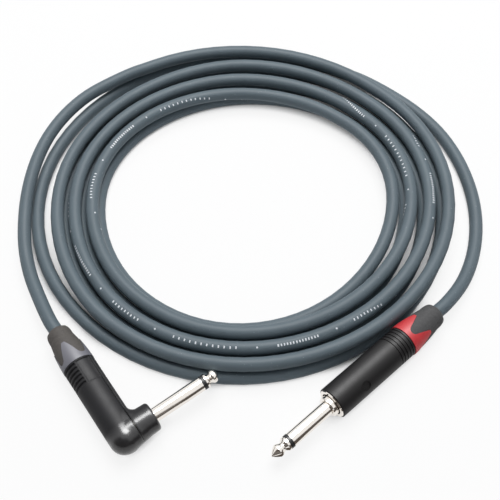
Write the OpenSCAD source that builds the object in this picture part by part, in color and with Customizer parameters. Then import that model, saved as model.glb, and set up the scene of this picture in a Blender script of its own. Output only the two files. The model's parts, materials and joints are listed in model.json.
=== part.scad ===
// Instrument cable, coiled on a flat surface: a straight 6.35 mm plug with a sliding mute
// collar at one end and a right-angle 6.35 mm plug at the other. Millimetres, Z up. The
// origin lies on the surface, midway between the two plugs.

/* [Cable] */
// Diameter of the jacket
cable_d = 6.3; // [6:0.05:6.35]
// Diameter of the insulated core
core_d = 1.8; // [1.4:0.1:2]
// Diameter of the bare conductor
conductor_d = 0.9; // [0.6:0.1:1.2]
// Diameter of the twisted shield
shield_d = 1.6; // [1:0.1:1.8]

/* [Coil] */
// Half width of the coil's outer line, left to right
coil_half_x = 104.6; // [104.2:0.1:105]
// Half width of the coil's outer line, front to back
coil_half_y = 100; // [99.5:0.1:100.2]
// Width of the band of turns on the right, centre to centre
band_right = 32.5; // [31:0.5:36]
// Width of the band of turns at the back, centre to centre
band_back = 38.3; // [36:0.1:42]
// Width of the band of turns on the left, centre to centre
band_left = 35; // [33:0.5:37]
// Width of the band of turns at the front, centre to centre
band_front = 27.5; // [27:0.5:31]
// Extra gap after the outer turns on the left
left_gap = 5; // [2:0.1:5.5]
// Distance between the centres of turns that lie on each other
turn_rise = 6.95; // [6.85:0.05:7.6]

/* [Plug contacts] */
// Diameter of the plug's shank
shank_d = 6.35; // [6.2:0.01:6.4]
// Diameter of the bore through the shank
shank_bore_d = 3.7; // [3.2:0.1:4.2]
// Diameter of the rod that carries the tip
rod_d = 2; // [1.6:0.1:2.2]
// Thickness of the black ring between tip and shank
tip_ring_t = 1.75; // [1.2:0.05:2.2]
// Diameter of the straight plug's shank where the mute collar slides
neck_d = 6; // [5.8:0.05:6]
// Diameter of the tip's collar
tip_collar_d = 6.25; // [6.24:0.01:6.3]
// Thickness of the solder tags
tag_t = 0.5; // [0.3:0.1:0.7]
// Width of the tip's solder tag
tip_tag_w = 2.8; // [2:0.1:3.2]
// Width of the ground tag
ground_tag_w = 5; // [3:0.5:6]

/* [Straight plug] */
// Length of the shell round the mute switch
switch_len = 18.5; // [18.2:0.1:22]
// Length of the shell round the wires
wiring_len = 11.8; // [11.3:0.1:16]
// Length of the shell round the cable's chuck
entry_len = 13.5; // [13:0.1:16]
// Outer diameter of the shell
shell_d = 14.5; // [14.2:0.1:14.8]
// Bore of the shell
shell_bore_d = 12.1; // [12:0.05:12.4]
// Distance from the shell's front to the end of the tip
straight_reach = 34.2; // [32:0.2:38]
// Number of grip grooves at the back of the shell
groove_count = 5; // [3:1:6]
// Distance from one grip groove to the next
groove_pitch = 1.7; // [1.4:0.1:2]
// Diameter of the round recess in the shell's side
recess_d = 4.5; // [3:0.5:6]
// Outer diameter of the mute collar
collar_d = 9.4; // [9:0.1:9.8]
// How far the mute collar stands out of the shell
collar_out = 2.7; // [2.3:0.1:3.5]
// How far the mute collar can be pushed in
collar_travel = 2; // [1:0.1:2.2]
// Wire of the collar's spring
spring_wire = 0.5; // [0.3:0.05:0.6]
// Turns of the collar's spring
spring_turns = 4; // [3:1:5]

/* [Angled plug] */
// Diameter of the housing's barrel
barrel_d = 14.2; // [13.8:0.1:14.4]
// Bore of the housing
barrel_bore_d = 11.8; // [11.7:0.05:12]
// Length of the barrel from the shank's axis to the code ring
barrel_len = 37.8; // [36:0.2:42]
// Distance from the barrel's axis to the face that the shank leaves
head_len = 14.5; // [14:0.1:17]
// Diameter of the head at its face
head_d = 12.8; // [12:0.1:13.2]
// Distance from the head's face to the end of the tip
angled_reach = 31.5; // [31.2:0.1:31.7]
// Distance from the barrel's axis to the seam between housing and cover
seam_at = 5.5; // [5:0.1:5.8]
// Width of the seam
seam_w = 0.2; // [0.1:0.05:0.3]
// Radius of the inside corner between barrel and head
corner_r = 3.5; // [3:0.5:6]

/* [Cable entry] */
// Diameter of the straight plug's code ring
straight_ring_d = 15; // [14.9:0.1:15.4]
// Diameter of the angled plug's code ring
angled_ring_d = 14.6; // [14.5:0.1:15]
// Length of the straight plug's boot behind the shell
straight_boot_len = 21.5; // [20:0.1:25]
// Length of the angled plug's boot behind the housing
angled_boot_len = 20.5; // [19:0.1:24]
// Length of the code rings to the tops of their points
ring_peak = 10.8; // [10:0.1:12]
// Length of the code rings to the bottoms of their notches
ring_notch = 2.4; // [2:0.1:4]
// Thickness of the code rings at the front
ring_t = 1; // [0.8:0.1:1.2]
// Wall of the boots' threaded nose
nose_t = 0.9; // [0.7:0.1:1.1]

/* [Hidden] */
$fn = 64;

black_plastic = [0.09, 0.09, 0.1];
boot_grey = [0.25, 0.25, 0.25];
nickel = [0.8, 0.79, 0.75];
brass = [0.8, 0.62, 0.3];
jacket = [0.38, 0.43, 0.46];
code_red = [0.78, 0.24, 0.26];
code_grey = [0.44, 0.44, 0.47];
white_plastic = [0.9, 0.9, 0.88];

fit = 0.05;     // radial clearance of pieces that sit in each other
rest_gap = 0.3; // gap between pieces that move and their seats
eps = 0.01;     // overlap of solids that are joined or cut

// Where the plugs lie: a point on the axis and the heading of that axis.
straight_at = [35.3, -12.6];
straight_heading = 41.5;
angled_at = [-50.6, -26.3];
angled_heading = 35.3;
angled_roll = 2.6; // the shank's end is raised onto the coil
shell_len = switch_len + wiring_len + entry_len;
straight_axis_z = straight_ring_d / 2;
angled_axis_z = angled_ring_d / 2;

// ---------------------------------------------------------------------------------------
// Cable: two spiral layers. The bottom layer winds in, climbs, and the top layer winds out.
// ---------------------------------------------------------------------------------------
cable_r = cable_d / 2;
coil_centre = [-1.6, 97.4];
coil_start = 60;         // angle at which the bottom layer begins
ring_step = 15;          // angle between two rings of the coil's tube
coil_steps = 172;        // rings of the coil, 24 to a turn
coil_end = coil_start + ring_step * coil_steps;
coil_sides = 6;
lead_sides = 10;
top_inset = 0.25;        // the top layer ends this part of a row further in
turn_soft = 0.12;        // rows by which the innermost turn is rounded off
climb = 0.28;            // rows over which the cable climbs to the top layer
sway = 0.3;              // how unevenly the rows step in round the coil
split_angle = 160;       // middle of the extra gap on the left
split_row = 0.7;         // row after which the gap lies
split_ease = 0.3;        // rows over which the gap opens
skew = 0.4;              // bulge of the coil towards its back right

function ease(x) = let (t = min(1, max(0, x))) t * t * (3 - 2 * t);
function unit(v) = v / norm(v);
// Rows stepped over by the angle a, a little faster on the front right of the coil.
function drift(a) = a / 360 + sway * (0.125 * sin(a) + 0.0625 * sin(2 * (a - 315)));
function rows_in(a) = drift(a) - drift(coil_start);
function rows_out(a) = drift(coil_end) - drift(a) + top_inset;
rows_all = rows_in(coil_start) + rows_out(coil_start);
row_last = rows_all / 2 - turn_soft;
function row(a) = let (x = (rows_in(a) - rows_out(a)) / 2)
    rows_all / 2 - sqrt(x * x + turn_soft * turn_soft);
function layer(a) = ease(0.5 + (rows_in(a) - rows_out(a)) / (4 * climb));
function band(a) = (cos(a) > 0 ? band_right : band_left) * pow(cos(a), 2)
    + (sin(a) > 0 ? band_back : band_front) * pow(sin(a), 2);
function split(a) = left_gap * ease((cos(a - split_angle) - 0.3) / 0.7);
function pitch(a) = (band(a) - split(a)) / row_last;
function outer_line(a) =
    1 / sqrt(pow(cos(a) / coil_half_x, 2) + pow(sin(a) / coil_half_y, 2))
    + skew * cos(2 * (a - 45));
function turn_radius(a) = outer_line(a) - pitch(a) * row(a)
    - split(a) * ease((row(a) - split_row + split_ease) / (2 * split_ease));
// A turn of the top layer rests on the nearest turn of the bottom layer.
function row_offset(a) = let (x = rows_in(a) - rows_out(a)) abs(x - round(x));
function rise(a) = sqrt(max(0, turn_rise * turn_rise - pow(pitch(a) * row_offset(a), 2)));
function coil_point(a) = [
    coil_centre.x + turn_radius(a) * cos(a),
    coil_centre.y + turn_radius(a) * sin(a),
    cable_r + layer(a) * rise(a)];
function coil_heading(a) = unit(coil_point(a + 1) - coil_point(a - 1));

coil_turns = [for (i = [0:coil_steps]) coil_point(coil_start + ring_step * i)];
coil_first_heading = coil_heading(coil_start);
coil_last_heading = coil_heading(coil_end);
coil_in = coil_turns[0] - cable_d * coil_first_heading;
coil_out = coil_turns[coil_steps] + cable_d * coil_last_heading;
coil_path = concat([coil_in], coil_turns, [coil_out]);

// The leads' points were chosen by hand, from the plug's boot to the coil.
straight_route = [
    [98.5, 47, 5.2], [105.5, 61, 3.7], [110, 77, 3.15], [111.5, 93, 3.15],
    [110.3, 109, 3.15], [106.5, 125, 3.15], [99.5, 141, 3.15], [88.5, 156, 3.15],
    [73, 170.5, 3.15]];
angled_route = [
    [-95, 39.5, 6.4], [-101, 52.5, 6], [-105.3, 67, 6.7], [-107.4, 83, 8],
    [-107.8, 99, 8.9], [-106.2, 116, 9.4], [-102.2, 132, 9.7], [-95, 147, 10],
    [-85.2, 159.9, 10], [-73.4, 169.6, 10]];

function heading(a) = [cos(a), sin(a), 0];
straight_boot_end = concat(straight_at, [straight_axis_z])
    + (shell_len + straight_boot_len) * heading(straight_heading);
angled_boot_end = concat(angled_at, [angled_axis_z])
    + (barrel_len + angled_boot_len) * heading(angled_heading + 90);

straight_lead_path = concat(
    [straight_boot_end, straight_boot_end + cable_d * heading(straight_heading)],
    straight_route,
    [coil_in - cable_d * coil_first_heading, coil_in]);
angled_lead_path = concat(
    [angled_boot_end, angled_boot_end + cable_d * heading(angled_heading + 90)],
    angled_route,
    [coil_out + cable_d * coil_last_heading, coil_out]);

// Direction of a path at point i: straight at both ends, the mean of two runs between.
function path_heading(p, i) =
    i == 0 ? unit(p[1] - p[0])
    : i == len(p) - 1 ? unit(p[i] - p[i - 1])
    : unit(unit(p[i + 1] - p[i]) + unit(p[i] - p[i - 1]));

// A tube of n sides swept along the points p, with a corner of every ring downwards.
module tube(p, n, r) {
    last = len(p) - 1;
    rings = [for (i = [0:last])
        let (t = path_heading(p, i), side = unit(cross([0, 0, 1], t)), up = cross(t, side))
        for (k = [0:n - 1]) p[i] + r * (cos(360 * k / n - 90) * side + sin(360 * k / n - 90) * up)];
    walls = [for (i = [0:last - 1]) for (k = [0:n - 1])
        let (a = i * n + k, b = i * n + (k + 1) % n)
        for (f = [[a, a + n, b], [b, a + n, b + n]]) f];
    caps = [for (k = [1:n - 2]) for (f = [[0, k, k + 1],
        [last * n, last * n + k + 1, last * n + k]]) f];
    polyhedron(points = rings, faces = concat(walls, caps));
}

// Least distance between the surfaces of turns that aren't each other's neighbours.
coil_fine = [for (i = [0:2:coil_steps]) coil_turns[i]];
turn_gap = min([for (i = [0:len(coil_fine) - 9]) for (j = [i + 8:len(coil_fine) - 1])
    norm(coil_fine[i] - coil_fine[j])]) - cable_d;
near_gap = min([for (i = [0:coil_steps - 20]) for (j = [i + 20:min(coil_steps, i + 28)])
    norm(coil_turns[i] - coil_turns[j])]) - cable_d;
function run(p) = len(p) < 2 ? 0
    : [for (i = 1, s = norm(p[1] - p[0]); i < len(p); i = i + 1,
        s = s + (i < len(p) ? norm(p[i] - p[i - 1]) : 0)) s][len(p) - 2];
echo(least_gap = min(turn_gap, near_gap));
echo(coil_length = run(coil_path), straight_lead = run(straight_lead_path),
    angled_lead = run(angled_lead_path));

module cable_coil() {
    color(jacket) tube(coil_path, coil_sides, cable_r);
}

module cable_lead_straight() {
    color(jacket) tube(straight_lead_path, lead_sides, cable_r);
}

module cable_lead_angled() {
    color(jacket) tube(angled_lead_path, lead_sides, cable_r);
}

// ---------------------------------------------------------------------------------------
// Frames of the two plugs. Z runs along the shank to its tip, and Z = 0 is the front of the
// shell or the axis of the barrel. In an entry frame, Z runs to the cable from the back of
// the shell or barrel.
// ---------------------------------------------------------------------------------------
module straight_frame() {
    translate(concat(straight_at, [straight_axis_z]))
    rotate([0, 0, straight_heading + 180])
    rotate([0, 90, 0])
    children();
}

module angled_frame() {
    translate(concat(angled_at, [angled_axis_z]))
    rotate([0, 0, angled_heading])
    rotate([0, -angled_roll, 0])
    rotate([0, 90, 0])
    children();
}

module straight_entry() {
    straight_frame()
    translate([0, 0, -shell_len])
    rotate([180, 0, 0])
    children();
}

module angled_entry() {
    angled_frame()
    translate([0, barrel_len, 0])
    rotate([-90, 0, 0])
    children();
}

module turned(profile) {
    rotate_extrude() polygon(profile);
}

module pipe(outer_r, inner_r, from, to) {
    turned([[inner_r, from], [outer_r, from], [outer_r, to], [inner_r, to]]);
}

module rod_between(a, b, r) {
    run_v = b - a;
    translate(a)
    rotate([0, acos(run_v.z / norm(run_v)), atan2(run_v.y, run_v.x)])
    cylinder(r = r, h = norm(run_v));
}

// ---------------------------------------------------------------------------------------
// Contacts shared by both plugs
// ---------------------------------------------------------------------------------------
shank_r = shank_d / 2;
rod_r = rod_d / 2;
liner_r = shank_bore_d / 2 - fit;
rod_hole_r = rod_r + fit;
tip_hole_depth = 3;

// The tip: a collar, a waist, a bulb and a nose. Heights are measured from its base.
module contact_tip(length, waist_at, waist_d, bulb_from, bulb_to, bulb_d, collar_len,
                   roundness) {
    waist_r = waist_d / 2;
    bulb_r = bulb_d / 2;
    steps = 8;
    turned(concat(
        [[rod_hole_r, 0], [tip_collar_d / 2, 0], [tip_collar_d / 2, collar_len]],
        [for (i = [0:steps]) let (t = i / steps)
            [waist_r + (bulb_r - waist_r) * (1 - cos(180 * t)) / 2,
             waist_at + (bulb_from - waist_at) * t]],
        [for (i = [0:steps - 1]) let (t = i / steps)
            [bulb_r * pow(1 - pow(t, roundness), 1 / roundness),
             bulb_to + (length - bulb_to) * t]],
        [[0, length], [0, tip_hole_depth], [rod_hole_r, tip_hole_depth]]));
}

module contact_ring() {
    pipe(shank_r, rod_hole_r, 0, tip_ring_t);
}

// Shank with its rear flange. Heights run from the flange's back to the black ring.
// A neck of the radius neck_r may lie in front of the flange.
module contact_shank(length, flange_r, flange_t, neck_r = 0, neck_end = 0) {
    neck = neck_end > 0 ? [[neck_r, flange_t], [neck_r, neck_end], [shank_r, neck_end]]
        : [[shank_r, flange_t]];
    turned(concat(
        [[shank_bore_d / 2, 0], [flange_r, 0], [flange_r, flange_t]],
        neck,
        [[shank_r, length], [shank_bore_d / 2, length]]));
}

rivet_t = 0.6;
rivet_r = 1.7;
module contact_rod(back, front) {
    turned([[0, back], [rivet_r, back], [rivet_r, back + rivet_t], [rod_r, back + rivet_t],
        [rod_r, front], [0, front]]);
}

// Insulating washer behind the shank, with a boss that centres the ground tag.
washer_t = 1;
washer_r = 4.5;
washer_boss_r = 2.8;
module rear_washer() {
    turned([[rod_hole_r, 0], [washer_boss_r, 0], [washer_boss_r, -tag_t - fit],
        [washer_r, -tag_t - fit], [washer_r, -tag_t - fit - washer_t],
        [rod_hole_r, -tag_t - fit - washer_t]]);
}

// Tip's solder tag: an eye on the rod and a tongue bent back along the plug.
tip_tag_eye_r = 2.4;
tip_tag_off = 3; // distance from the axis to the tongue's outer face
module tip_solder_tag(tongue) {
    difference() {
        union() {
            translate([0, 0, -tag_t]) cylinder(r = tip_tag_eye_r, h = tag_t);
            translate([-tip_tag_off, -tip_tag_w / 2, -tag_t])
                cube([tip_tag_off, tip_tag_w, tag_t]);
            translate([-tip_tag_off, -tip_tag_w / 2, -tongue]) cube([tag_t, tip_tag_w, tongue]);
        }
        translate([0, 0, -tag_t - 1]) cylinder(r = rod_hole_r, h = tag_t + 2);
        translate([-tip_tag_off - 1, 0, -tongue + tip_tag_w / 2]) rotate([0, 90, 0])
            cylinder(d = tip_tag_w / 2.5, h = tag_t + 2);
    }
}

// Ground tag: a ring on the shank's flange and a curved tongue bent back along the plug.
ground_tag_r = 5.4;
module ground_solder_tag(tongue) {
    pipe(ground_tag_r, washer_boss_r + fit, -tag_t, 0);
    intersection() {
        pipe(ground_tag_r, ground_tag_r - tag_t, -tongue, -tag_t + eps);
        translate([0, -ground_tag_w / 2, -tongue])
            cube([ground_tag_r + 1, ground_tag_w, tongue]);
    }
}

// ---------------------------------------------------------------------------------------
// Cable entry shared by both plugs, in an entry frame: code ring, boot, chuck, cable end
// ---------------------------------------------------------------------------------------
ring_points = 4;
ring_front = 0.1;     // gap between ring and shell
notch_r = 2;          // round bottom of a notch
point_half_w = 0.55;  // half width of a point at its top
ring_proud = 0.25;    // how far the ring stands out of the boot
straight_ring_turn = 10; // how far ring and boot are turned round the cable
angled_ring_turn = 39;
boot_end_r = 4;
boot_mid = 0.75;      // place of the boot's shoulder, as a part of its length
boot_nose_len = 8;
cable_hole_r = cable_r + fit;
chuck_slots = 3;
chuck_slot_w = 1;
chuck_slot_len = 8;
jacket_cut = 1.5;     // the jacket ends this far in front of the chuck

// Outer radius of ring and boot at the distance w behind the shell.
function shoulder_at(len_b) = len_b * boot_mid;
function boot_r(w, front_r, len_b) =
    let (s = shoulder_at(len_b), mid_r = front_r - 1.5)
    w < s ? front_r - 1.5 * pow(w / s, 2)
    : mid_r - (mid_r - boot_end_r) * (1 - sqrt(max(0, 1 - pow((w - s) / (len_b - s), 3))));

function boot_line(front_r, len_b, from, to, steps) =
    [for (i = [0:steps]) let (w = from + (to - from) * i / steps)
        [boot_r(w, front_r, len_b), w]];

// One notch between two points of the code ring, cut from the side; grow widens it.
module notch(front_r, len_b, grow) {
    top_half_w = boot_r(ring_peak, front_r, len_b) * sin(180 / ring_points)
        - point_half_w + grow;
    centre = ring_notch + notch_r;
    r = notch_r + grow;
    // The flanks touch the round bottom and end beside the points.
    lean = atan2(top_half_w, ring_peak - centre);
    reach = norm([top_half_w, ring_peak - centre]);
    touch = 180 - lean - acos(r / reach);
    rotate([90, 0, 0])
    linear_extrude(height = front_r + 2)
    polygon(concat(
        [for (i = [-6:6]) let (a = i * touch / 6)
            [r * sin(a), centre - r * cos(a)]],
        [[top_half_w, ring_peak], [top_half_w + 1, ring_peak + 2],
         [-top_half_w - 1, ring_peak + 2], [-top_half_w, ring_peak]]));
}

module notches(front_r, len_b, grow) {
    for (i = [0:ring_points - 1])
        rotate([0, 0, 360 / ring_points * i]) notch(front_r, len_b, grow);
}

module code_ring(front_r, len_b) {
    difference() {
        turned(concat(boot_line(front_r, len_b, ring_front, ring_peak, 8),
            [[boot_r(ring_peak, front_r, len_b) - ring_t, ring_peak],
             [front_r - ring_t, ring_front]]));
        notches(front_r, len_b, 0);
    }
}

// Boot: the taper with a pocket for the ring, and the nose that screws into the shell.
module boot(front_r, len_b, bore_r) {
    nose_r = bore_r - fit;
    pocket_end = ring_peak + fit;
    difference() {
        union() {
            turned(concat([[0, 0]], boot_line(front_r - ring_proud, len_b, 0, len_b, 24),
                [[0, len_b]]));
            translate([0, 0, -boot_nose_len]) cylinder(r = nose_r, h = boot_nose_len + eps);
        }
        // The ring's pocket; the tongues between the ring's points stay.
        difference() {
            turned([[front_r - ring_t - fit, -eps], [front_r + 1, -eps],
                [front_r + 1, pocket_end],
                [boot_r(ring_peak, front_r, len_b) - ring_t - fit, pocket_end]]);
            notches(front_r, len_b, -fit);
        }
        translate([0, 0, -boot_nose_len - 1])
            cylinder(r = cable_hole_r, h = boot_nose_len + len_b + 2);
        // Seat of the chuck: a straight bore that ends in a cone.
        translate([0, 0, -boot_nose_len - 1])
            cylinder(r = nose_r - nose_t, h = boot_nose_len + 1 - chuck_taper);
        translate([0, 0, -chuck_taper])
            cylinder(r1 = nose_r - nose_t, r2 = cable_hole_r + 0.8, h = chuck_taper);
    }
}

// Chuck: a slotted tube that the boot squeezes onto the jacket.
chuck_taper = 3;
module chuck(bore_r, room) {
    chuck_r = bore_r - nose_t - 2 * fit;
    front = jacket_cut - room;
    difference() {
        turned([[cable_hole_r, front], [chuck_r, front],
            [chuck_r, -chuck_taper - fit], [cable_hole_r + 0.8, -fit], [cable_hole_r, -fit]]);
        for (i = [0:chuck_slots - 1])
            rotate([0, 0, 360 / chuck_slots * (i + 0.5)])
            translate([0, -chuck_slot_w / 2, -chuck_slot_len])
            cube([chuck_r + 1, chuck_slot_w, chuck_slot_len + 1]);
    }
}

module cable_end(len_b, room) {
    translate([0, 0, -room]) cylinder(r = cable_r, h = len_b + room);
}

// ---------------------------------------------------------------------------------------
// Straight plug. Heights in its frame: 0 at the shell's front, positive to the tip.
// ---------------------------------------------------------------------------------------
shell_r = shell_d / 2;
shell_bore_r = shell_bore_d / 2;
straight_tip_len = 8.6;
straight_ring_top = straight_reach - straight_tip_len;
front_ring_lip = 0.35;
front_ring_depth = 3;
front_ring_r = shell_bore_r + 0.35;
front_ring_bore_r = collar_d / 2 + 0.5;
neck_r = neck_d / 2;
collar_bore_r = neck_r + 0.08;
collar_flange_t = 1;
collar_flange_r = shell_bore_r - 0.25;
collar_tail = 2.7;
collar_tail_r = collar_bore_r + 0.7;
collar_flange_front = -front_ring_depth - rest_gap;
collar_flange_back = collar_flange_front - collar_flange_t;
magnet_t = 2.2;
magnet_wall = 0.65;
flange_t = 2.5;
carrier_clear = 1;    // left between collar and switch carrier when the collar is in
carrier_back = -switch_len + flange_t;
carrier_front = collar_flange_back - collar_tail - collar_travel - carrier_clear;
carrier_r = shell_bore_r - fit;
reed_r = 0.8;
reed_off = 4.6;
straight_flange_back = -switch_len;
straight_washer_back = straight_flange_back - tag_t - fit - washer_t;
straight_shank_len = straight_ring_top - tip_ring_t - straight_flange_back;
tongue_ground = 11;
tongue_tip = 7;
jacket_face = -shell_len + entry_len;
recess_at = 14.5;      // distance of the recess behind the shell's front
recess_turn = 46;     // how far the recess is turned down from the top
recess_depth = 0.35;
groove_w = 0.7;
groove_depth = 0.35;
groove_edge = 1;      // plain rim behind the last groove
edge = 0.4;           // chamfer of the shell's ends

module straight_tip() {
    color(nickel) straight_frame() translate([0, 0, straight_ring_top])
        contact_tip(straight_tip_len, 2.3, 4, 4.7, 5.1, 5.6, 1, 1.15);
}

module straight_tip_ring() {
    color(black_plastic) straight_frame()
        translate([0, 0, straight_ring_top - tip_ring_t]) contact_ring();
}

module straight_shank() {
    color(nickel) straight_frame() translate([0, 0, straight_flange_back])
        contact_shank(straight_shank_len, carrier_r, flange_t, neck_r,
            collar_out + rest_gap - straight_flange_back);
}

module straight_liner() {
    color(white_plastic) straight_frame()
        pipe(liner_r, rod_hole_r, straight_flange_back + fit,
            straight_ring_top - tip_ring_t - fit);
}

module straight_tip_rod() {
    color(brass) straight_frame()
        contact_rod(straight_washer_back - tag_t - 2 * fit - rivet_t,
            straight_ring_top + tip_hole_depth - fit);
}

module straight_rear_washer() {
    color(white_plastic) straight_frame()
        translate([0, 0, straight_flange_back - fit]) rear_washer();
}

module straight_tip_tag() {
    color(brass) straight_frame()
        translate([0, 0, straight_washer_back - 2 * fit]) tip_solder_tag(tongue_tip);
}

module straight_ground_tag() {
    color(brass) straight_frame()
        translate([0, 0, straight_flange_back - fit]) ground_solder_tag(tongue_ground);
}

// Mute collar: slides on the shank; its flange stops behind the front ring.
module straight_mute_collar() {
    color(nickel) straight_frame()
        turned([[collar_bore_r, collar_out], [collar_d / 2 - edge, collar_out],
            [collar_d / 2, collar_out - edge], [collar_d / 2, collar_flange_front],
            [collar_flange_r, collar_flange_front], [collar_flange_r, collar_flange_back],
            [collar_tail_r, collar_flange_back],
            [collar_tail_r, collar_flange_back - collar_tail],
            [collar_bore_r, collar_flange_back - collar_tail]]);
}

module straight_magnet_ring() {
    inner_r = collar_tail_r + fit;
    color([0.3, 0.3, 0.32]) straight_frame()
        pipe(inner_r + magnet_wall, inner_r, collar_flange_back - fit - magnet_t,
            collar_flange_back - fit);
}

// Compression spring between the collar's flange and the switch carrier.
spring_r = collar_tail_r + fit + magnet_wall + spring_wire / 2 + 0.25;
spring_rings = 10;
module straight_collar_spring() {
    top = collar_flange_back - rest_gap - spring_wire / 2;
    bottom = carrier_front + rest_gap + spring_wire / 2;
    steps = spring_turns * spring_rings;
    color([0.7, 0.7, 0.72]) straight_frame()
        helix_wire([for (i = [0:steps]) let (a = 360 * i / spring_rings)
            [spring_r * cos(a), spring_r * sin(a), top + (bottom - top) * i / steps]]);
}

module helix_wire(p) {
    n = 6;
    last = len(p) - 1;
    rings = [for (i = [0:last])
        let (t = path_heading(p, i), out = unit([p[i].x, p[i].y, 0]), up = cross(t, out))
        for (k = [0:n - 1])
            p[i] + spring_wire / 2 * (cos(360 * k / n) * cross(up, t) + sin(360 * k / n) * up)];
    walls = [for (i = [0:last - 1]) for (k = [0:n - 1])
        let (a = i * n + k, b = i * n + (k + 1) % n)
        for (f = [[a, b, a + n], [b, b + n, a + n]]) f];
    caps = [for (k = [1:n - 2]) for (f = [[0, k + 1, k],
        [last * n, last * n + k, last * n + k + 1]]) f];
    polyhedron(points = rings, faces = concat(walls, caps));
}

// Switch carrier: holds the reed switch beside the shank.
module straight_switch_carrier() {
    color(black_plastic) straight_frame()
        difference() {
            pipe(carrier_r, neck_r + fit, carrier_back, carrier_front);
            translate([0, reed_off, carrier_back - 1])
                cylinder(r = reed_r + fit, h = carrier_front - carrier_back + 0.5);
        }
}

module straight_reed_switch() {
    color([0.7, 0.85, 0.8]) straight_frame()
        translate([0, reed_off, carrier_back])
        cylinder(r = reed_r, h = carrier_front - carrier_back - 0.6);
}

module straight_front_ring() {
    color(nickel) straight_frame()
        turned([[front_ring_bore_r, -front_ring_depth], [front_ring_r - fit, -front_ring_depth],
            [front_ring_r - fit, 0], [front_ring_r + 0.3, 0],
            [front_ring_r + 0.1, front_ring_lip], [front_ring_bore_r, front_ring_lip]]);
}

module straight_shell() {
    grooves = [for (i = [groove_count - 1:-1:0])
        let (z = -shell_len + groove_edge + groove_w + groove_pitch * i)
        for (q = [[shell_r, z], [shell_r - groove_depth, z - groove_w * 0.25],
                  [shell_r - groove_depth, z - groove_w * 0.75], [shell_r, z - groove_w]]) q];
    color(black_plastic) straight_frame()
        difference() {
            turned(concat(
                [[front_ring_r, 0], [shell_r - edge, 0], [shell_r, -edge]],
                grooves,
                [[shell_r, -shell_len + edge / 2], [shell_r - edge / 2, -shell_len],
                 [shell_bore_r, -shell_len], [shell_bore_r, -front_ring_depth - fit],
                 [front_ring_r, -front_ring_depth - fit]]));
            translate([0, 0, -recess_at])
                rotate([0, 0, -recess_turn])
                translate([-shell_r + recess_depth, 0, 0])
                rotate([0, -90, 0])
                cylinder(d = recess_d, h = shell_r);
        }
}

module straight_chuck() {
    color(white_plastic) straight_entry() chuck(shell_bore_r, entry_len);
}

module straight_boot() {
    color(boot_grey) straight_entry() rotate([0, 0, straight_ring_turn])
        boot(straight_ring_d / 2, straight_boot_len, shell_bore_r);
}

module straight_code_ring() {
    color(code_red) straight_entry() rotate([0, 0, straight_ring_turn])
        code_ring(straight_ring_d / 2, straight_boot_len);
}

module straight_cable_end() {
    color(jacket) straight_entry() cable_end(straight_boot_len, entry_len);
}

// Core: insulation from the jacket's face, then the bare conductor on the tip's tag.
wire_gap = 0.5;       // sloping wires begin this far in front of the jacket's face
strip_len = 4.5;
tip_wire_x = -tip_tag_off + tag_t + core_d / 2 + fit;
module straight_core_wire() {
    end = straight_washer_back - 2 * fit - tongue_tip + strip_len;
    color([0.75, 0.2, 0.15]) straight_frame() {
        translate([tip_wire_x, 0, jacket_face])
            cylinder(d = core_d, h = end - strip_len - jacket_face);
        translate([-tip_tag_off + tag_t + conductor_d / 2 + 0.15, 0, end - strip_len - eps])
            cylinder(d = conductor_d, h = strip_len);
    }
}

ground_wire_x = ground_tag_r - tag_t - shield_d / 2 - 0.15;
module straight_shield_wire() {
    color(brass) straight_frame()
        rod_between([cable_r - shield_d / 2 - 0.3, 0, jacket_face + wire_gap],
            [ground_wire_x, 0, straight_flange_back - tongue_ground + 3], shield_d / 2);
}

// ---------------------------------------------------------------------------------------
// Angled plug. In its frame Z runs along the shank, Y along the barrel to the cable, and
// -X is up. The barrel's axis crosses the shank's at the origin.
// ---------------------------------------------------------------------------------------
barrel_r = barrel_d / 2;
barrel_bore_r = barrel_bore_d / 2;
head_r = head_d / 2;
head_root_r = 7.05;
head_rim_r = 1.3;
elbow_drop = 7.9;     // how far the elbow reaches past the shank's axis
elbow_r = 6.5;
chin_r = 6.95;        // the tapered underside that leads from the elbow to the head
chin_len = 11.6;
angled_entry_len = 13.5; // barrel round the cable's chuck
head_bore_depth = 3.6; // thickness of the head in front of the flange
angled_flange_t = 2.2;
angled_flange_r = 4.6;
angled_flange_back = head_len - head_bore_depth - angled_flange_t;
angled_tip_len = 6.1;
angled_ring_top = head_len + angled_reach - angled_tip_len;
angled_washer_back = angled_flange_back - tag_t - fit - washer_t;
angled_shank_len = angled_ring_top - tip_ring_t - angled_flange_back;
angled_jacket_face = barrel_len - angled_entry_len;
grip_len = 13.2;      // the ribbed end of the barrel, which widens a little
grip_r = barrel_r + 0.08;
rib_count = 6;
rib_pitch = 1.95;
rib_depth = 0.45;
rib_w = 1;
rib_edge = 1.3;       // the ribs end this far beside the middle of the top
rib_top = 1.5;        // and at this height on the shank's side
panel_len = 11.4;     // the bare recessed panel on top
panel_depth = 0.35;
panel_from = -0.4;
panel_rim = 0.6;
angled_tongue = 5.2;

module angled_tip() {
    color(nickel) angled_frame() translate([0, 0, angled_ring_top])
        contact_tip(angled_tip_len, 1.8, 3.7, 3.7, 4.2, 5.8, 0.9, 2);
}

module angled_tip_ring() {
    color(black_plastic) angled_frame()
        translate([0, 0, angled_ring_top - tip_ring_t]) contact_ring();
}

module angled_shank() {
    color(nickel) angled_frame() translate([0, 0, angled_flange_back])
        contact_shank(angled_shank_len, angled_flange_r, angled_flange_t);
}

module angled_liner() {
    color(white_plastic) angled_frame()
        pipe(liner_r, rod_hole_r, angled_flange_back + fit,
            angled_ring_top - tip_ring_t - fit);
}

module angled_tip_rod() {
    color(brass) angled_frame()
        contact_rod(angled_washer_back - tag_t - 2 * fit - rivet_t,
            angled_ring_top + tip_hole_depth - fit);
}

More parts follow.
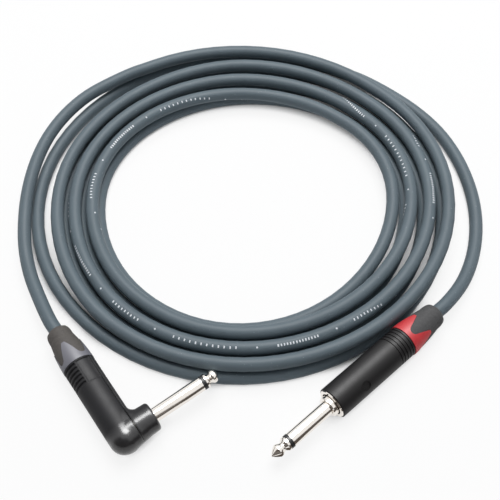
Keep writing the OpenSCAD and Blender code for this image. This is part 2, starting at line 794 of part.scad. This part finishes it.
// Shape of the whole moulding: the barrel with its round elbow, the head and the inside
// corner, which is a quarter of a torus.
module angled_outside() {
    rotate([-90, 0, 0])
    turned(concat(
        [[0, barrel_len], [0, -elbow_drop]],
        [for (a = [-90:10:0])
            [barrel_r - elbow_r + elbow_r * cos(a), -elbow_drop + elbow_r + elbow_r * sin(a)]],
        [[barrel_r, barrel_len - grip_len], [grip_r, barrel_len]]));
    turned(concat(
        [[0, 0], [head_root_r, 0], [head_r, head_len - head_rim_r]],
        [for (a = [15:15:90])
            [head_r - head_rim_r + head_rim_r * cos(a),
             head_len - head_rim_r + head_rim_r * sin(a)]],
        [[0, head_len]]));
    // The chin: a cone that leans from the elbow into the head's rim.
    chin_lean = atan2(elbow_drop - chin_r, chin_len);
    translate([0, chin_r - elbow_drop, 0])
        rotate([-chin_lean, 0, 0])
        cylinder(r1 = chin_r, r2 = head_r - 0.15, h = chin_len);
    bend_r = head_r - 0.05;
    translate([0, head_r + corner_r, barrel_r + corner_r])
        rotate([0, 90, 0])
        rotate([0, 0, -90])
        rotate_extrude(angle = 90)
        translate([corner_r + bend_r, 0])
        circle(r = bend_r);
}

// Room inside: the barrel's bore, the flange's pocket and the hole for the shank.
module angled_inside() {
    translate([0, -barrel_bore_r / 2, 0]) rotate([-90, 0, 0])
        cylinder(r = barrel_bore_r, h = barrel_len + barrel_bore_r);
    cylinder(r = angled_flange_r + 0.9, h = angled_flange_back + angled_flange_t + fit);
    cylinder(r = shank_r + fit, h = head_len + 1);
}

// Grooves between the ribs next to the code ring. The top and its panel stay clear of them.
module angled_ribs() {
    difference() {
        rotate([-90, 0, 0])
        for (i = [0:rib_count - 1])
            translate([0, 0, barrel_len - 0.8 - rib_w - rib_pitch * i])
            pipe(barrel_r + 1, barrel_r - rib_depth, 0, rib_w);
        translate([-barrel_r - 2, barrel_len - grip_len, -rib_edge])
            cube([barrel_r - rib_top + 2, grip_len + 1, rib_edge + barrel_r + 2]);
    }
}

// Recessed panel between the ribs and the seam.
module angled_panel() {
    intersection() {
        rotate([-90, 0, 0])
            pipe(barrel_r + 1, barrel_r - panel_depth, barrel_len - panel_rim - panel_len,
                barrel_len - panel_rim);
        translate([-barrel_r - 2, 0, panel_from])
            cube([barrel_r + 2, barrel_len, seam_at - panel_rim - panel_from]);
    }
}

module angled_moulding() {
    difference() {
        angled_outside();
        angled_inside();
        angled_ribs();
        angled_panel();
    }
}

module angled_half(front) {
    room = 2 * (barrel_len + elbow_drop);
    low = front ? seam_at + seam_w / 2 : seam_at - seam_w / 2 - room;
    intersection() {
        angled_moulding();
        translate([-room / 2, -room / 2, low]) cube(room);
    }
}

module angled_housing() {
    color(black_plastic) angled_frame() angled_half(true);
}

module angled_cover() {
    color(black_plastic) angled_frame() angled_half(false);
}

module angled_rear_washer() {
    color(white_plastic) angled_frame()
        translate([0, 0, angled_flange_back - fit]) rear_washer();
}

module angled_tip_tag() {
    color(brass) angled_frame()
        translate([0, 0, angled_washer_back - 2 * fit])
        rotate([0, 0, 180])
        tip_solder_tag(angled_tongue);
}

module angled_ground_tag() {
    color(brass) angled_frame()
        translate([0, 0, angled_flange_back - fit])
        rotate([0, 0, 180])
        ground_solder_tag(angled_tongue);
}

module angled_chuck() {
    color(white_plastic) angled_entry() chuck(barrel_bore_r, angled_entry_len);
}

module angled_boot() {
    color(boot_grey) angled_entry() rotate([0, 0, angled_ring_turn])
        boot(angled_ring_d / 2, angled_boot_len, barrel_bore_r);
}

module angled_code_ring() {
    color(code_grey) angled_entry() rotate([0, 0, angled_ring_turn])
        code_ring(angled_ring_d / 2, angled_boot_len);
}

module angled_cable_end() {
    color(jacket) angled_entry() cable_end(angled_boot_len, angled_entry_len);
}

module angled_core_wire() {
    beside_tag = [-tip_wire_x, 1, angled_washer_back - angled_tongue + 0.5];
    color([0.75, 0.2, 0.15]) angled_frame()
        rod_between([0.5, angled_jacket_face - wire_gap, 0], beside_tag, core_d / 2);
}

module angled_shield_wire() {
    beside_tag = [-ground_wire_x + 0.5, ground_tag_w / 2 + 0.6,
        angled_flange_back - angled_tongue + 0.1];
    color(brass) angled_frame()
        rod_between([-2, angled_jacket_face - wire_gap, 0], beside_tag, shield_d / 2);
}

cable_coil();
cable_lead_straight();
cable_lead_angled();
straight_tip();
straight_tip_ring();
straight_shank();
straight_liner();
straight_tip_rod();
straight_rear_washer();
straight_tip_tag();
straight_ground_tag();
straight_mute_collar();
straight_magnet_ring();
straight_collar_spring();
straight_switch_carrier();
straight_reed_switch();
straight_front_ring();
straight_shell();
straight_chuck();
straight_boot();
straight_code_ring();
straight_cable_end();
straight_core_wire();
straight_shield_wire();
angled_tip();
angled_tip_ring();
angled_shank();
angled_liner();
angled_tip_rod();
angled_rear_washer();
angled_tip_tag();
angled_ground_tag();
angled_housing();
angled_cover();
angled_chuck();
angled_boot();
angled_code_ring();
angled_cable_end();
angled_core_wire();
angled_shield_wire();
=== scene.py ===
"""Looks of the coiled instrument cable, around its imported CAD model. Metres, Z up."""
import bisect
import itertools
import json
import math

import bpy
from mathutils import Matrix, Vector


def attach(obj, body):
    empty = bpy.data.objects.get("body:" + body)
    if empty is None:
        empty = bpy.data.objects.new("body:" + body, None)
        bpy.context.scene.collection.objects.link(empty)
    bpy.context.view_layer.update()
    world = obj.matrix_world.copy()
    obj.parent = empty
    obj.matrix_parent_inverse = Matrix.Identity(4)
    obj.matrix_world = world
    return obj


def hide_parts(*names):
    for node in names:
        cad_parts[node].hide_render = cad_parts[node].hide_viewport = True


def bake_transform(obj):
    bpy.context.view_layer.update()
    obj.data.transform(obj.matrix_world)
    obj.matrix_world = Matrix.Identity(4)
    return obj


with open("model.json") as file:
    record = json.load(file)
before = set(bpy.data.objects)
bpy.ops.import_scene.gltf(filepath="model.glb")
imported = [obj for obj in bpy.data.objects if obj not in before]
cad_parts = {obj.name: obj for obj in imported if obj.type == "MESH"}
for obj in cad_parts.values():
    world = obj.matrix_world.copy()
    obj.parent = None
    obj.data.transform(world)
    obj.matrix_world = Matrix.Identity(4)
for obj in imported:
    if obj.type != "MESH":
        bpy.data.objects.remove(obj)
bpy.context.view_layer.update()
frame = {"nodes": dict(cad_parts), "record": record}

MM = 0.001
BODY = "cable"
UP = Vector((0, 0, 1))


def cosd(a):
    return math.cos(math.radians(a))


def sind(a):
    return math.sin(math.radians(a))


def heading(a):
    """Level direction, a degrees from +X towards +Y."""
    return Vector((cosd(a), sind(a), 0))


def ease(x):
    """0 up to 0, 1 from 1 on and a smooth rise between them."""
    t = min(1, max(0, x))
    return t * t * (3 - 2 * t)


def add_object(name, data):
    made = bpy.data.objects.new(name, data)
    bpy.context.scene.collection.objects.link(made)
    return made


def add_mesh(name, verts, faces):
    mesh = bpy.data.meshes.new(name)
    mesh.from_pydata(verts, [], faces)
    return add_object(name, mesh)


# ------------------------------------------------------------------------------------
# Camera
# ------------------------------------------------------------------------------------
CAMERA_TARGET = Vector((0.001, 0.069, 0.0))
CAMERA_DISTANCE = 0.394
CAMERA_ELEVATION = math.radians(57)
FOCAL_SHARE = 820 / 500  # focal length as a share of the frame's width
SENSOR_MM = 36


def make_camera():
    data = bpy.data.cameras.new("camera")
    data.sensor_fit = "HORIZONTAL"
    data.sensor_width = SENSOR_MM
    data.lens = FOCAL_SHARE * SENSOR_MM
    data.clip_start = 0.01
    data.clip_end = 20
    camera = add_object("camera", data)
    back = Vector((0, -math.cos(CAMERA_ELEVATION), math.sin(CAMERA_ELEVATION)))
    camera.location = CAMERA_TARGET + back * CAMERA_DISTANCE
    camera.rotation_euler = (math.pi / 2 - CAMERA_ELEVATION, 0, 0)
    bpy.context.scene.camera = camera


# ------------------------------------------------------------------------------------
# Cable: the routes' points and the coil's formula are those of the CAD source
# ------------------------------------------------------------------------------------
CABLE_D = 6.3 * MM
CABLE_R = CABLE_D / 2
COIL_CENTRE = (-1.6 * MM, 97.4 * MM)
COIL_HALF_X, COIL_HALF_Y = 104.6 * MM, 100 * MM
COIL_START, RING_STEP, COIL_STEPS = 60, 15, 172
COIL_END = COIL_START + RING_STEP * COIL_STEPS
BAND_RIGHT, BAND_BACK, BAND_LEFT, BAND_FRONT = 32.5 * MM, 38.3 * MM, 35 * MM, 27.5 * MM
TURN_RISE = 6.95 * MM
TOP_INSET, TURN_SOFT, CLIMB = 0.25, 0.12, 0.28
SWAY, SWAY_ONCE, SWAY_TWICE, SWAY_ANGLE = 0.3, 0.125, 0.0625, 315
LEFT_GAP, SPLIT_ANGLE, SPLIT_FROM = 5 * MM, 160, 0.3
SPLIT_ROW, SPLIT_EASE = 0.7, 0.3
SKEW, SKEW_ANGLE = 0.4 * MM, 45
FINE_STEP = 5   # degrees between two points of the drawn coil
LEAD_STEPS = 4  # points drawn for each point of a lead's route

# Millimetres and degrees, as in the CAD source.
STRAIGHT_AT, STRAIGHT_HEADING = (35.3, -12.6, 7.5), 41.5
SHELL_LEN, STRAIGHT_BOOT_LEN = 43.8, 21.5
ANGLED_AT, ANGLED_HEADING = (-50.6, -26.3, 7.3), 35.3
BARREL_HEADING = ANGLED_HEADING + 90
BARREL_LEN, ANGLED_BOOT_LEN = 37.8, 20.5
STRAIGHT_ROUTE = [
    (98.5, 47, 5.2), (105.5, 61, 3.7), (110, 77, 3.15), (111.5, 93, 3.15),
    (110.3, 109, 3.15), (106.5, 125, 3.15), (99.5, 141, 3.15), (88.5, 156, 3.15),
    (73, 170.5, 3.15)]
ANGLED_ROUTE = [
    (-95, 39.5, 6.4), (-101, 52.5, 6), (-105.3, 67, 6.7), (-107.4, 83, 8),
    (-107.8, 99, 8.9), (-106.2, 116, 9.4), (-102.2, 132, 9.7), (-95, 147, 10),
    (-85.2, 159.9, 10), (-73.4, 169.6, 10)]


def drift(a):
    """Turns made up to the angle a, a little uneven as in a coil wound by hand."""
    wave = SWAY_ONCE * sind(a) + SWAY_TWICE * sind(2 * (a - SWAY_ANGLE))
    return a / 360 + SWAY * wave


def rows_in(a):
    return drift(a) - drift(COIL_START)


def rows_out(a):
    return drift(COIL_END) - drift(a) + TOP_INSET


ROWS_ALL = rows_in(COIL_START) + rows_out(COIL_START)
ROW_LAST = ROWS_ALL / 2 - TURN_SOFT


def coil_point(a):
    """Point of the coil's centreline: inwards in the lower layer, outwards in the upper."""
    x = rows_in(a) - rows_out(a)
    row = ROWS_ALL / 2 - math.hypot(x / 2, TURN_SOFT)
    band = (BAND_RIGHT if cosd(a) > 0 else BAND_LEFT) * cosd(a) ** 2
    band += (BAND_BACK if sind(a) > 0 else BAND_FRONT) * sind(a) ** 2
    gap = LEFT_GAP * ease((cosd(a - SPLIT_ANGLE) - SPLIT_FROM) / (1 - SPLIT_FROM))
    pitch = (band - gap) / ROW_LAST
    outer = 1 / math.hypot(cosd(a) / COIL_HALF_X, sind(a) / COIL_HALF_Y)
    outer += SKEW * cosd(2 * (a - SKEW_ANGLE))
    radius = outer - pitch * row
    radius -= gap * ease((row - SPLIT_ROW + SPLIT_EASE) / (2 * SPLIT_EASE))
    offset = abs(x - round(x))
    rise = math.sqrt(max(0, TURN_RISE ** 2 - (pitch * offset) ** 2))
    height = CABLE_R + ease(0.5 + x / (4 * CLIMB)) * rise
    return Vector((COIL_CENTRE[0] + radius * cosd(a), COIL_CENTRE[1] + radius * sind(a), height))


def curved(points, steps):
    """Points along a centripetal Catmull-Rom curve through the given points."""
    ends = [2 * points[0] - points[1], *points, 2 * points[-1] - points[-2]]
    result = []
    for p0, p1, p2, p3 in zip(ends, ends[1:], ends[2:], ends[3:]):
        t1 = (p1 - p0).length ** 0.5
        t2 = t1 + (p2 - p1).length ** 0.5
        t3 = t2 + (p3 - p2).length ** 0.5
        for i in range(steps):
            t = t1 + (t2 - t1) * i / steps
            a1 = p0 + (p1 - p0) * (t / t1)
            a2 = p1 + (p2 - p1) * ((t - t1) / (t2 - t1))
            a3 = p2 + (p3 - p2) * ((t - t2) / (t3 - t2))
            b1 = a1 + (a2 - a1) * (t / t2)
            b2 = a2 + (a3 - a2) * ((t - t1) / (t3 - t1))
            result.append(b1 + (b2 - b1) * ((t - t1) / (t2 - t1)))
    return [*result, points[-1]]


def boot_end(at, along, length):
    return (Vector(at) + heading(along) * length) * MM


def cable_points():
    """Where the cable leaves the straight plug's boot, and its points to the angled plug's."""
    first = boot_end(STRAIGHT_AT, STRAIGHT_HEADING, SHELL_LEN + STRAIGHT_BOOT_LEN)
    last = boot_end(ANGLED_AT, BARREL_HEADING, BARREL_LEN + ANGLED_BOOT_LEN)
    coil = [coil_point(a) for a in range(COIL_START, COIL_END + 1, FINE_STEP)]
    into = (coil_point(COIL_START + 1) - coil_point(COIL_START - 1)).normalized()
    out = (coil_point(COIL_END + 1) - coil_point(COIL_END - 1)).normalized()
    lead_in = [first, first + heading(STRAIGHT_HEADING) * CABLE_D]
    lead_in += [Vector(p) * MM for p in STRAIGHT_ROUTE]
    lead_in += [coil[0] - into * 2 * CABLE_D, coil[0] - into * CABLE_D, coil[0]]
    lead_out = [coil[-1], coil[-1] + out * CABLE_D, coil[-1] + out * 2 * CABLE_D]
    lead_out += [Vector(p) * MM for p in reversed(ANGLED_ROUTE)]
    lead_out += [last + heading(BARREL_HEADING) * CABLE_D, last]
    points = curved(lead_in, LEAD_STEPS)[:-1] + coil + curved(lead_out, LEAD_STEPS)[1:]
    return first, points


def tube(name, points, radius):
    data = bpy.data.curves.new(name, "CURVE")
    data.dimensions = "3D"
    data.bevel_depth = radius
    data.bevel_resolution = 7
    data.use_fill_caps = True
    spline = data.splines.new("POLY")
    spline.points.add(len(points) - 1)
    for point, place in zip(spline.points, points):
        point.co = (*place, 1)
    spline.use_smooth = True
    return add_object(name, data)


def distances(points):
    """How far along the line each of its points lies."""
    steps = ((b - a).length for a, b in zip(points, points[1:]))
    return list(itertools.accumulate(steps, initial=0.0))


def make_cable(jacket, print_ink):
    first, points = cable_points()
    length = distances(points)[-1]
    cable = tube("cable", points, CABLE_R)
    cable.data.materials.append(jacket)
    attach(cable, BODY)
    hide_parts("cable_coil", "cable_lead_straight", "cable_lead_angled")
    marks = jacket_print(points)
    marks.data.materials.append(print_ink)
    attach(marks, BODY)


# Print on the jacket: groups of plain ticks with a dot between them. Every group is given
# as the number of its ticks and the distance from one tick to the next.
PRINT_GROUPS = [(14, 1.35 * MM), (9, 1.8 * MM), (12, 2.5 * MM)]
TICK_LEN, TICK_WIDTH, TICK_END = 0.6 * MM, 1.1 * MM, 1
DOT_LEN, DOT_WIDTH, DOT_END = 0.8 * MM, 0.8 * MM, 0.5
DOT_AWAY = 9 * MM  # from a dot to the nearest tick
PRINT_LIFT = 0.015 * MM
# The side of the jacket that the print is on, as distances along the cable and degrees from
# the top towards the outside of the coil. It turns over as the cable is wound.
PRINT_SIDES = [
    (0, -150), (2.325, -150), (2.37, -35), (2.42, -15), (2.445, 10), (2.49, -150),
    (2.65, -150), (2.69, -30), (2.74, -30), (2.78, 150), (2.9, 150), (2.94, 70),
    (3, 22), (3.12, 22), (3.16, 150), (3.19, 25), (3.23, 25), (3.26, 150), (4.3, 170)]
PRINT_STARTS = [start for start, _ in PRINT_SIDES]


def print_side(along):
    """Radians from the top to the print, at a distance along the cable."""
    i = bisect.bisect_right(PRINT_STARTS, along) - 1
    (near, first), (far, last) = PRINT_SIDES[i:i + 2]
    return math.radians(first + (last - first) * ease((along - near) / (far - near)))


def jacket_print(points):
    """Thin patches that follow the jacket's round surface."""
    ends = distances(points)
    verts, faces = [], []

    def place(along, turn):
        i = min(bisect.bisect_right(ends, along) - 1, len(points) - 2)
        run = points[i + 1] - points[i]
        ahead = run.normalized()
        side = ahead.cross(UP).normalized()
        up = side.cross(ahead)
        out = side * math.sin(turn) + up * math.cos(turn)
        centre = points[i] + run * ((along - ends[i]) / run.length)
        return centre + out * (CABLE_R + PRINT_LIFT)

    def patch(along, length, width, end_share):
        """Four rows of three points. The end rows have a share of the width."""
        start = len(verts)
        middle = print_side(along)
        rows = [(-0.5, end_share), (-0.25, 1), (0.25, 1), (0.5, end_share)]
        for share, wide in rows:
            for k in (-1, 0, 1):
                turn = middle + k * wide * width / 2 / CABLE_R
                verts.append(place(along + share * length, turn))
        for row in range(len(rows) - 1):
            for k in range(2):
                a = start + 3 * row + k
                faces.append((a, a + 1, a + 4, a + 3))

    along = 2 * DOT_AWAY
    for count, pitch in itertools.cycle(PRINT_GROUPS):
        end = along + (count - 1) * pitch
        if end + 2 * DOT_AWAY > ends[-1]:
            break
        for i in range(count):
            patch(along + i * pitch, TICK_LEN, TICK_WIDTH, TICK_END)
        patch(end + DOT_AWAY, DOT_LEN, DOT_WIDTH, DOT_END)
        along = end + 2 * DOT_AWAY
    return add_mesh("jacket_print", verts, faces)


def make_spring(steel):
    """The collar's spring, a copy of its solid in place of the CAD node."""
    mesh = frame["nodes"]["straight_collar_spring"].data.copy()
    spring = add_object("collar_spring", mesh)
    mesh.materials.clear()
    mesh.materials.append(steel)
    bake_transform(spring)
    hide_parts("straight_collar_spring")


# ------------------------------------------------------------------------------------
# Materials
# ------------------------------------------------------------------------------------
TINT_FROM, TINT_TO = 0.3, 0.7  # the part of the noise that the colour spreads over
FLECK_SCALE, FLECK_FROM, FLECK_EDGE = 1500, 0.745, 0.03
GRAIN_DEPTH = 0.02 * MM
EDGE_SAMPLES = 6
MATTE_FROM, MATTE_TO = -1 * MM, 3 * MM  # up the angled plug's barrel from its elbow


def linear(r, g, b):
    """Scene colour of an sRGB colour given as 0 to 255."""
    def channel(c):
        c /= 255
        return c / 12.92 if c <= 0.04045 else ((c + 0.055) / 1.055) ** 2.4
    return (channel(r), channel(g), channel(b), 1)


def material(name, colour, roughness, metallic=0.0, tint=0.06, tint_scale=60, grain=0.1,
             grain_scale=900, rough_spread=0.06, specular=0.5, coat_roughness=0.1,
             flecks=None, soften=0.0):
    """A finish with uneven colour, uneven gloss and a fine relief, all from noise.

    flecks is the colour of sparse fine specks, such as dust or lint. soften is the radius
    over which the light runs round edges, as it does on moulded and turned pieces.
    """
    mat = bpy.data.materials.new(name)
    mat.use_nodes = True
    nodes, links = mat.node_tree.nodes, mat.node_tree.links
    shader = nodes["Principled BSDF"]
    place = nodes.new("ShaderNodeTexCoord").outputs["Object"]
    shader.inputs["Metallic"].default_value = metallic
    shader.inputs["Specular IOR Level"].default_value = specular
    shader.inputs["Coat Roughness"].default_value = coat_roughness

    def noise(scale, detail):
        node = nodes.new("ShaderNodeTexNoise")
        node.inputs["Scale"].default_value = scale
        node.inputs["Detail"].default_value = detail
        links.new(place, node.inputs["Vector"])
        return node.outputs["Fac"]

    ramp = nodes.new("ShaderNodeValToRGB")
    dark = [c * (1 - tint) for c in colour[:3]]
    light = [min(1, c * (1 + tint)) for c in colour[:3]]
    ramp.color_ramp.elements[0].color = (*dark, 1)
    ramp.color_ramp.elements[1].color = (*light, 1)
    ramp.color_ramp.elements[0].position = TINT_FROM
    ramp.color_ramp.elements[1].position = TINT_TO
    links.new(noise(tint_scale, 4), ramp.inputs["Fac"])
    if flecks:
        sparse = nodes.new("ShaderNodeMapRange")
        sparse.inputs["From Min"].default_value = FLECK_FROM
        sparse.inputs["From Max"].default_value = FLECK_FROM + FLECK_EDGE
        links.new(noise(FLECK_SCALE, 1), sparse.inputs["Value"])
        mix = nodes.new("ShaderNodeMix")
        mix.data_type = "RGBA"
        links.new(sparse.outputs["Result"], mix.inputs["Factor"])
        links.new(ramp.outputs["Color"], mix.inputs["A"])
        mix.inputs["B"].default_value = flecks
        links.new(mix.outputs["Result"], shader.inputs["Base Color"])
    else:
        links.new(ramp.outputs["Color"], shader.inputs["Base Color"])

    spread = nodes.new("ShaderNodeMapRange")
    spread.inputs["To Min"].default_value = max(0.02, roughness - rough_spread)
    spread.inputs["To Max"].default_value = min(1, roughness + rough_spread)
    links.new(noise(tint_scale * 3, 3), spread.inputs["Value"])
    links.new(spread.outputs["Result"], shader.inputs["Roughness"])

    bump = nodes.new("ShaderNodeBump")
    bump.inputs["Strength"].default_value = grain
    bump.inputs["Distance"].default_value = GRAIN_DEPTH
    links.new(noise(grain_scale, 2), bump.inputs["Height"])
    if soften:
        edge = nodes.new("ShaderNodeBevel")
        edge.samples = EDGE_SAMPLES
        edge.inputs["Radius"].default_value = soften
        links.new(edge.outputs["Normal"], bump.inputs["Normal"])
    links.new(bump.outputs["Normal"], shader.inputs["Normal"])
    return mat


def half_polished(mat):
    """The angled plug's moulding is polished round its elbow and head and matte beyond."""
    nodes, links = mat.node_tree.nodes, mat.node_tree.links
    shader = nodes["Principled BSDF"]
    up_barrel = heading(BARREL_HEADING)
    along = nodes.new("ShaderNodeVectorMath")
    along.operation = "DOT_PRODUCT"
    along.inputs[1].default_value = up_barrel
    links.new(nodes.new("ShaderNodeTexCoord").outputs["Object"], along.inputs[0])
    elbow = (Vector(ANGLED_AT) * MM).dot(up_barrel)
    polish = nodes.new("ShaderNodeMapRange")
    polish.inputs["From Min"].default_value = elbow + MATTE_TO
    polish.inputs["From Max"].default_value = elbow + MATTE_FROM
    links.new(along.outputs["Value"], polish.inputs["Value"])
    links.new(polish.outputs["Result"], shader.inputs["Coat Weight"])
    links.new(shader.inputs["Normal"].links[0].from_socket, shader.inputs["Coat Normal"])
    return mat


def make_materials():
    return {
        "jacket": material("jacket", linear(96, 108, 115), 0.5, tint=0.05, tint_scale=45,
                           grain=0.35, grain_scale=2200, specular=0.15,
                           flecks=linear(136, 146, 152)),
        "print": material("print", linear(222, 226, 230), 0.6, tint=0.1, tint_scale=2500),
        "nickel": material("nickel", (0.86, 0.82, 0.77, 1), 0.1, metallic=1, tint=0.03,
                           grain=0.03, grain_scale=500, rough_spread=0.03),
        "insulator": material("insulator", linear(24, 24, 25), 0.45, grain=0.2),
        "white_insulator": material("white_insulator", linear(226, 226, 220), 0.5),
        # Brass hue, but far darker than bright brass: painted shade, so that the inner parts
        # seen through the moulding's seam stay dark.
        "brass": material("brass", (0.26, 0.19, 0.09, 1), 0.6, metallic=1, tint=0.08),
        "magnet": material("magnet", linear(90, 90, 94), 0.5, metallic=1),
        "spring_steel": material("spring_steel", (0.6, 0.6, 0.62, 1), 0.25, metallic=1),
        "switch_glass": material("switch_glass", linear(150, 200, 180), 0.1),
        "shell": material("shell", linear(20, 19, 20), 0.5, tint=0.15, grain=0.15,
                          grain_scale=1800, specular=0.26),
        "boot_dark": material("boot_dark", linear(68, 68, 69), 0.75, tint=0.14, tint_scale=900,
                              grain=0.9, grain_scale=2400, specular=0.35,
                              flecks=linear(112, 112, 112)),
        "boot_grey": material("boot_grey", linear(80, 76, 73), 0.75, tint=0.12, tint_scale=900,
                              grain=0.9, grain_scale=2400, specular=0.35,
                              flecks=linear(120, 116, 112)),
        "code_red": material("code_red", linear(200, 48, 54), 0.5, tint=0.08, grain=0.3,
                             grain_scale=2000),
        "code_grey": material("code_grey", linear(112, 112, 120), 0.5, tint=0.06, grain=0.3,
                              grain_scale=2000),
        "core_red": material("core_red", linear(190, 60, 50), 0.5),
        "copper": material("copper", (0.72, 0.42, 0.3, 1), 0.35, metallic=1, tint=0.1),
        "moulding": half_polished(material("moulding", linear(26, 26, 29), 0.55, tint=0.15,
                                           grain=0.15, grain_scale=1500, specular=0.25,
                                           coat_roughness=0.2, soften=1.2 * MM)),
    }


def dress(materials):
    """Every CAD node takes the material of its slot in the record."""
    for part in frame["record"]["subparts"]:
        node = frame["nodes"][part["node"]]
        finish = materials[part["material_slot"]]
        if node.material_slots:
            for place in node.material_slots:
                place.material = finish
        else:
            node.data.materials.append(finish)


# ------------------------------------------------------------------------------------
# Stage
# ------------------------------------------------------------------------------------
FLOOR_SIZE = 60
FLOOR_DROP = 0.1 * MM
FLOOR_SHADE = 0.86
SHUT_IN, SHUT_FROM, SHUT_TO = 10 * MM, 0.2, 0.5
WORLD_STRENGTH = 0.3
LAMP_AIM = Vector((0, 0.07, 0))
# The dark side of the room: a wall round the camera's side and a sheet on the floor from
# the plugs to the wall.
WALL_AWAY, WALL_FROM, WALL_TO, WALL_STEP = 0.9, -160, 10, 10
WALL_HIGH, WALL_LOW, LOW_FROM = 1.6, 0.46, -50
SHEET_FROM, SHEET_TO = -60, 0
SHEET_EDGE = [(0.11, -0.045), (-0.005, -0.033)]


def combine(tree, operation, first, second):
    """Output of a Math node for two other outputs."""
    node = tree.nodes.new("ShaderNodeMath")
    node.operation = operation
    tree.links.new(first, node.inputs[0])
    tree.links.new(second, node.inputs[1])
    return node.outputs[0]


def make_floor():
    bpy.ops.mesh.primitive_plane_add(size=FLOOR_SIZE, location=(0, 0, -FLOOR_DROP))
    floor = bpy.context.object
    floor.name = "floor"
    mat = bpy.data.materials.new("floor")
    mat.use_nodes = True
    tree = mat.node_tree
    nodes, links = tree.nodes, tree.links
    shader = nodes["Principled BSDF"]
    shader.inputs["Base Color"].default_value = (FLOOR_SHADE, FLOOR_SHADE, FLOOR_SHADE, 1)
    shader.inputs["Roughness"].default_value = 0.9
    shader.inputs["Specular IOR Level"].default_value = 0.1
    glow = nodes.new("ShaderNodeEmission")
    glow.inputs["Strength"].default_value = 1.0
    mix = nodes.new("ShaderNodeMixShader")
    seen = nodes.new("ShaderNodeLightPath")
    # Where the cable's strands shut the floor in, it keeps its own dark shade.
    open_air = nodes.new("ShaderNodeAmbientOcclusion")
    open_air.samples = 8
    open_air.inputs["Distance"].default_value = SHUT_IN
    share = nodes.new("ShaderNodeMapRange")
    share.inputs["From Min"].default_value = SHUT_FROM
    share.inputs["From Max"].default_value = SHUT_TO
    share.inputs["To Max"].default_value = FLOOR_SHADE
    links.new(open_air.outputs["AO"], share.inputs["Value"])
    either = combine(tree, "MAXIMUM", seen.outputs["Is Camera Ray"],
                     seen.outputs["Is Glossy Ray"])
    links.new(combine(tree, "MULTIPLY", either, share.outputs["Result"]), mix.inputs["Fac"])
    links.new(shader.outputs["BSDF"], mix.inputs[1])
    links.new(glow.outputs["Emission"], mix.inputs[2])
    links.new(mix.outputs["Shader"], nodes["Material Output"].inputs["Surface"])
    floor.data.materials.append(mat)


def make_world():
    """White where it is seen, directly or in gloss, and a soft light on everything else."""
    world = bpy.data.worlds.new("studio")
    bpy.context.scene.world = world
    world.use_nodes = True
    tree = world.node_tree
    nodes, links = tree.nodes, tree.links
    light = nodes["Background"]
    light.inputs["Color"].default_value = (0.95, 0.97, 1, 1)
    light.inputs["Strength"].default_value = WORLD_STRENGTH
    backdrop = nodes.new("ShaderNodeBackground")
    backdrop.inputs["Color"].default_value = (1, 1, 1, 1)
    seen = nodes.new("ShaderNodeLightPath")
    either = combine(tree, "MAXIMUM", seen.outputs["Is Camera Ray"],
                     seen.outputs["Is Glossy Ray"])
    mix = nodes.new("ShaderNodeMixShader")
    links.new(combine(tree, "MAXIMUM", either, seen.outputs["Is Transmission Ray"]),
              mix.inputs["Fac"])
    links.new(light.outputs["Background"], mix.inputs[1])
    links.new(backdrop.outputs["Background"], mix.inputs[2])
    links.new(mix.outputs["Shader"], nodes["World Output"].inputs["Surface"])


def area_lamp(name, place, size, energy):
    data = bpy.data.lights.new(name, "AREA")
    data.shape = "SQUARE"
    data.size = size
    data.energy = energy
    lamp = add_object(name, data)
    lamp.location = place
    lamp.rotation_euler = (LAMP_AIM - Vector(place)).to_track_quat("-Z", "Y").to_euler()
    lamp.visible_camera = False
    return lamp


def make_lights():
    """One window high behind the coil. Its second lamp shows only in gloss."""
    area_lamp("key", (0.04, 0.45, 0.95), 0.7, 10)
    gloss = area_lamp("gloss", (0.04, 0.45, 0.96), 0.6, 15)
    gloss.visible_diffuse = False


def make_card():
    """The dark side of the room, which only bright metal and gloss show."""
    angles = list(range(WALL_FROM, WALL_TO + 1, WALL_STEP))
    feet = {a: heading(a) * WALL_AWAY for a in angles}
    verts, faces = [], []
    for a in angles:
        height = WALL_LOW if a >= LOW_FROM else WALL_HIGH
        verts += [feet[a], feet[a] + UP * height]
    for i in range(len(angles) - 1):
        faces.append((2 * i, 2 * i + 2, 2 * i + 3, 2 * i + 1))
    sheet = [feet[a] for a in angles if SHEET_FROM <= a <= SHEET_TO]
    sheet += [Vector((x, y, 0)) for x, y in SHEET_EDGE]
    faces.append(tuple(range(len(verts), len(verts) + len(sheet))))
    verts += [p - UP * FLOOR_DROP / 2 for p in sheet]
    card = add_mesh("card", verts, faces)
    mat = bpy.data.materials.new("card")
    mat.use_nodes = True
    shader = mat.node_tree.nodes["Principled BSDF"]
    shader.inputs["Base Color"].default_value = (0.06, 0.042, 0.03, 1)
    card.data.materials.append(mat)
    card.visible_camera = False
    card.visible_diffuse = False
    card.visible_shadow = False
    card.visible_transmission = False


make_camera()
materials = make_materials()
make_cable(materials["jacket"], materials["print"])
make_spring(materials["spring_steel"])
dress(materials)
make_floor()
make_world()
make_lights()
make_card()
bpy.context.scene.view_settings.view_transform = "Standard"
